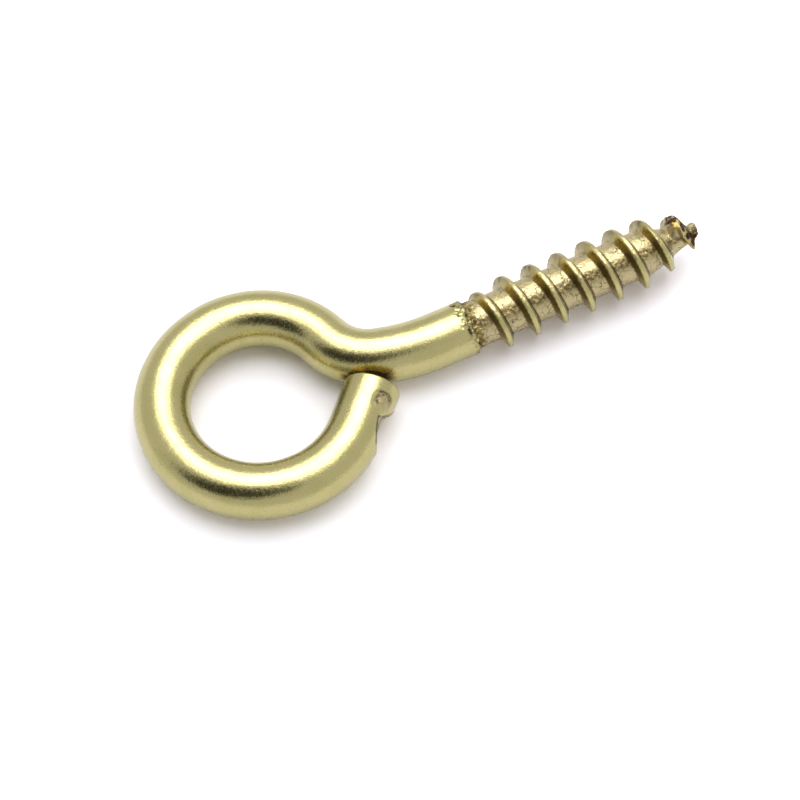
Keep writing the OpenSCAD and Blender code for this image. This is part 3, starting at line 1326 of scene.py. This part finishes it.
@dataclass
class Studio:
    """Floor, soft light from above, the dark side behind the camera, and the camera."""

    floor_radius: float = 3.0
    floor_height: float = -2.11877 * MM
    lamp_direction: tuple[float, float] = (146.0, 72.0)
    lamp_distance: float = 0.5
    lamp_size: tuple[float, float] = (0.56, 0.5)
    shine_size: tuple[float, float] = (0.38, 0.36)
    lamp_level: float = 1.5
    shine_level: float = 2.8
    shine_nearer: float = 0.01
    card_direction: tuple[float, float] = (-55.0, 48.0)
    card_distance: float = 0.34
    card_size: tuple[float, float] = (0.49, 0.27)
    card_roll: float = 28.0
    wall_level: float = 1.0
    fill_level: float = 0.9
    view: View = View()

    def build(self, lean: float) -> None:
        """Builds everything that isn't the part.

        Args:
            lean: the part's lean, in degrees.
        """
        self._floor()
        self._lamp("soft_box", self.lamp_level, False)
        self._lamp("soft_box_shine", self.shine_level, True)
        self._card()
        self._world()
        self._camera(lean)

    @staticmethod
    def _sheet(name: str, corners: Sequence[Vector], finish: bpy.types.Material) -> bpy.types.Object:
        """Makes a flat sheet.

        Args:
            name: the sheet's name.
            corners: its corners in order.
            finish: its material.

        Returns:
            The sheet.
        """
        mesh = bpy.data.meshes.new(name)
        mesh.from_pydata(corners, [], [tuple(range(len(corners)))])
        mesh.materials.append(finish)
        sheet = bpy.data.objects.new(name, mesh)
        bpy.context.scene.collection.objects.link(sheet)
        return sheet

    def _floor(self) -> None:
        """Lays the floor."""
        height = Vector((0.0, 0.0, self.floor_height))
        corners = [height + point for point in ellipse(2 * self.floor_radius, 2 * self.floor_radius, 64)]
        floor = self._sheet("floor", corners, PalePaper().material("pale_paper"))

    def _card(self) -> None:
        """Stands the black card behind the camera."""
        place = aimed(self.card_direction, self.card_distance)
        place = place @ Matrix.Rotation(math.radians(self.card_roll), 4, "Z")
        corners = [place @ point for point in ellipse(*self.card_size, 48)]
        card = self._sheet("black_card", corners, MattBlack().material("matt_black"))

    def _lamp(self, name: str, level: float, shine_only: bool) -> None:
        """Hangs a soft box above and behind the part.

        Args:
            name: the lamp's name.
            level: its brightness, where 1 is white.
            shine_only: whether it shows in gloss and lights nothing else.
        """
        light = bpy.data.lights.new(name, "AREA")
        light.shape = "RECTANGLE"
        light.size, light.size_y = self.shine_size if shine_only else self.lamp_size
        light.energy = level * math.pi * light.size * light.size_y
        lamp = bpy.data.objects.new(name, light)
        lamp.matrix_world = aimed(self.lamp_direction, self.lamp_distance - shine_only * self.shine_nearer)
        lamp.visible_diffuse = not shine_only
        bpy.context.scene.collection.objects.link(lamp)

    def _world(self) -> None:
        """Surrounds the part with pale walls, plain white to the camera."""
        world = bpy.data.worlds.new("walls")
        world.use_nodes = True
        bpy.context.scene.world = world
        g = Graph(world.node_tree)
        path = g.node("ShaderNodeLightPath").outputs
        mirror = g.value(path["Is Glossy Ray"]).most(g.value(path["Is Transmission Ray"]))
        level = self.fill_level + mirror * (self.wall_level - self.fill_level)
        level = level + g.value(path["Is Camera Ray"]) * (1.0 - level)
        glow = g.node("ShaderNodeBackground", None, {"Strength": level})
        g.node("ShaderNodeOutputWorld", None, {"Surface": glow.outputs[0]})

    def _camera(self, lean: float) -> None:
        """Sets the camera.

        Args:
            lean: the part's lean, which the camera's own place is given without, in degrees.
        """
        view = self.view
        data = bpy.data.cameras.new("camera")
        data.sensor_width = view.sensor
        data.lens = view.lens
        data.clip_start, data.clip_end = 0.01, 20.0
        camera = bpy.data.objects.new("camera", data)
        back = outward(view.azimuth, view.elevation)
        right = (-back).cross(Vector((0, 0, 1))).normalized()
        up = right.cross(-back)
        roll = math.radians(view.roll)
        across = right * math.cos(roll) + up * math.sin(roll)
        upward = up * math.cos(roll) - right * math.sin(roll)
        place = (back * view.distance + across * view.across + upward * view.upward) * MM
        turn = Matrix((across, upward, back)).transposed()
        level = Matrix.Rotation(math.radians(-lean), 4, "Y")
        camera.matrix_world = level @ (Matrix.Translation(place) @ turn.to_4x4())
        bpy.context.scene.collection.objects.link(camera)
        bpy.context.scene.camera = camera


def main() -> None:
    """Builds the part and the studio; the part's piece is reported as it is built."""
    logging.basicConfig(level=logging.INFO, format="%(name)s %(message)s")
    part = ScrewEye()
    part.build()
    Studio().build(part.lean)
    bpy.context.scene.view_settings.view_transform = "Standard"


if __name__ == "__main__":
    main()
